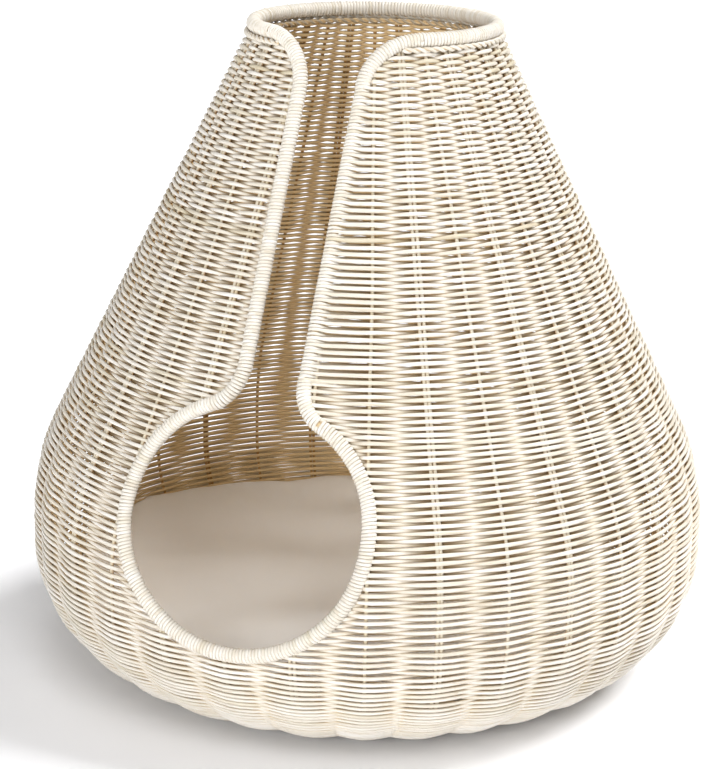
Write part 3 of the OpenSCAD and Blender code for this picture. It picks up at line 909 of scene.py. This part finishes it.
def tapeMaterial():
    # Knitted polyester tape with a coil: ribs 1.2 mm apart across its length
    material, tree, shader = newMaterial("zipTapeKnit")
    place = addNode(tree, "ShaderNodeTexCoord")
    rib = addNode(tree, "ShaderNodeTexWave", {"Vector": place.outputs["Object"], "Scale": 260.0},
                  bands_direction="X")
    tint = addNode(tree, "ShaderNodeValToRGB", {"Fac": rib.outputs["Fac"]})
    setRamp(tint, [(0.2, "#cfc6b6"), (0.8, "#e4ddd0")])
    bump = addNode(tree, "ShaderNodeBump", {"Height": rib.outputs["Fac"], "Strength": 0.4,
                                            "Distance": 0.2 * mm})
    tree.links.new(tint.outputs[0], shader.inputs["Base Color"])
    tree.links.new(bump.outputs[0], shader.inputs["Normal"])
    shader.inputs["Roughness"].default_value = 0.8
    return material


def zipMetalMaterial():
    # Plated zinc casting: bright grey metal, slightly mottled by handling
    material, tree, shader = newMaterial("platedZinc")
    place = addNode(tree, "ShaderNodeTexCoord")
    marks = addNode(tree, "ShaderNodeTexNoise", {"Vector": place.outputs["Object"], "Scale": 900.0,
                                                 "Detail": 3.0})
    tint = addNode(tree, "ShaderNodeValToRGB", {"Fac": marks.outputs["Fac"]})
    setRamp(tint, [(0.35, "#a3a4a6"), (0.65, "#c6c7c8")])
    rough = addNode(tree, "ShaderNodeMapRange", {"Value": marks.outputs["Fac"], "To Min": 0.22,
                                                 "To Max": 0.42})
    tree.links.new(tint.outputs[0], shader.inputs["Base Color"])
    tree.links.new(rough.outputs[0], shader.inputs["Roughness"])
    shader.inputs["Metallic"].default_value = 1.0
    return material


def rawCaneMaterial():
    # Raw rattan rod inside the base and the rim: tan with fibres and darker nodes
    material, tree, shader = newMaterial("rawRattanRod")
    place = addNode(tree, "ShaderNodeTexCoord")
    fibre = addNode(tree, "ShaderNodeTexNoise", {"Vector": place.outputs["Object"], "Scale": 320.0,
                                                 "Detail": 4.0})
    tint = addNode(tree, "ShaderNodeValToRGB", {"Fac": fibre.outputs["Fac"]})
    setRamp(tint, [(0.3, "#b99b6d"), (0.7, "#dcc8a0")])
    bump = addNode(tree, "ShaderNodeBump", {"Height": fibre.outputs["Fac"], "Strength": 0.3,
                                            "Distance": 0.2 * mm})
    tree.links.new(tint.outputs[0], shader.inputs["Base Color"])
    tree.links.new(bump.outputs[0], shader.inputs["Normal"])
    shader.inputs["Roughness"].default_value = 0.65
    return material


rawCane = rawCaneMaterial()
zipMetal = zipMetalMaterial()
zipTape = tapeMaterial()
finishes = {
    "base_spokes": rawCane, "base_cross": rawCane, "rim_core_ring": rawCane, "rim_core_left": rawCane,
    "rim_core_right": rawCane, "rim_core_entry": rawCane, "zip_tape": zipTape, "zip_slider": zipMetal,
    "zip_pull": zipMetal,
}
for nodeName, material in finishes.items():
    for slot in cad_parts[nodeName].material_slots:
        slot.material = material
print("stage: finishes")

# ---- floor, light and camera

studio = {
    "floorSize": 40.0,
    "worldStrength": 0.36,
    "frontStrength": 0.8,
    "frontFrom": (0.75, -1.0, 1.5),
    "backStrength": 3.0,
    "backFrom": (0.95, 0.7, 1.5),
    "softboxPlace": (0.1, -3.0, 0.9),
    "softboxTarget": (0, 0, 0.25),
    "softboxSize": 1.2,
    "softboxPower": 50,
    "softness": 30.0,       # width of both lights seen from the house, degrees
    "cameraPlace": (0.6602, -1.6761, 0.7722),
    "cameraRight": (0.92566, 0.37807, 0.01470),
    "cameraUp": (-0.12187, 0.26114, 0.95758),
    "lens": 105.4,
}


def makeFloor():
    # A large square of plain paper at the height of zero
    half = studio["floorSize"] / 2
    mesh = bpy.data.meshes.new("floor")
    corners = [(-half, -half, 0), (half, -half, 0), (half, half, 0), (-half, half, 0)]
    mesh.from_pydata(corners, [], [(0, 1, 2, 3)])
    floor = bpy.data.objects.new("floor", mesh)
    bpy.context.scene.collection.objects.link(floor)
    material, tree, shader = newMaterial("studioPaper")
    shader.inputs["Base Color"].default_value = linear("#fcfcfe")
    shader.inputs["Roughness"].default_value = 0.9
    shader.inputs["Specular IOR Level"].default_value = 0.1
    mesh.materials.append(material)


def areaLight(name, place, target, size, power):
    # A square softbox at a place, whose -z axis is the unit line to its target
    light = bpy.data.lights.new(name, "AREA")
    light.energy = power
    light.size = size
    holder = bpy.data.objects.new(name, light)
    bpy.context.scene.collection.objects.link(holder)
    direction = np.array(target, float) - np.array(place, float)
    z = -direction / np.linalg.norm(direction)
    x = np.cross((0, 0, 1), z) if abs(z[2]) < 0.99 else np.array([1.0, 0, 0])
    x = x / np.linalg.norm(x)
    y = np.cross(z, x)
    rows = np.eye(4)
    rows[:3, 0], rows[:3, 1], rows[:3, 2], rows[:3, 3] = x, y, z, place
    holder.matrix_world = Matrix(rows.tolist())


def evenLight(name, strength, comesFrom):
    # An even light over the whole floor, as wide as a large softbox; z is the unit line to it
    light = bpy.data.lights.new(name, "SUN")
    light.energy = strength
    light.angle = math.radians(studio["softness"])
    holder = bpy.data.objects.new(name, light)
    bpy.context.scene.collection.objects.link(holder)
    z = np.array(comesFrom)
    z = z / np.linalg.norm(z)
    x = np.cross((0, 0, 1), z)
    x = x / np.linalg.norm(x)
    rows = np.eye(4)
    rows[:3, 0], rows[:3, 1], rows[:3, 2] = x, np.cross(z, x), z
    holder.matrix_world = Matrix(rows.tolist())


def makeCamera():
    # The camera's axes are its right, its up and their cross product
    lens = bpy.data.cameras.new("camera")
    lens.lens = studio["lens"]
    lens.sensor_width = 36.0
    lens.clip_end = 100
    camera = bpy.data.objects.new("camera", lens)
    bpy.context.scene.collection.objects.link(camera)
    x = np.array(studio["cameraRight"])
    y = np.array(studio["cameraUp"])
    rows = np.eye(4)
    rows[:3, 0], rows[:3, 1], rows[:3, 2], rows[:3, 3] = x, y, np.cross(x, y), studio["cameraPlace"]
    camera.matrix_world = Matrix(rows.tolist())
    bpy.context.scene.camera = camera


makeFloor()
areaLight("frontSoftbox", studio["softboxPlace"], studio["softboxTarget"], studio["softboxSize"],
          studio["softboxPower"])
evenLight("front", studio["frontStrength"], studio["frontFrom"])
evenLight("back", studio["backStrength"], studio["backFrom"])
makeCamera()
world = bpy.data.worlds.new("studio")
world.use_nodes = True
world.node_tree.nodes["Background"].inputs["Color"].default_value = (1, 1, 1, 1)
world.node_tree.nodes["Background"].inputs["Strength"].default_value = studio["worldStrength"]
bpy.context.scene.world = world
bpy.context.scene.view_settings.view_transform = "Standard"
print("stage: studio")
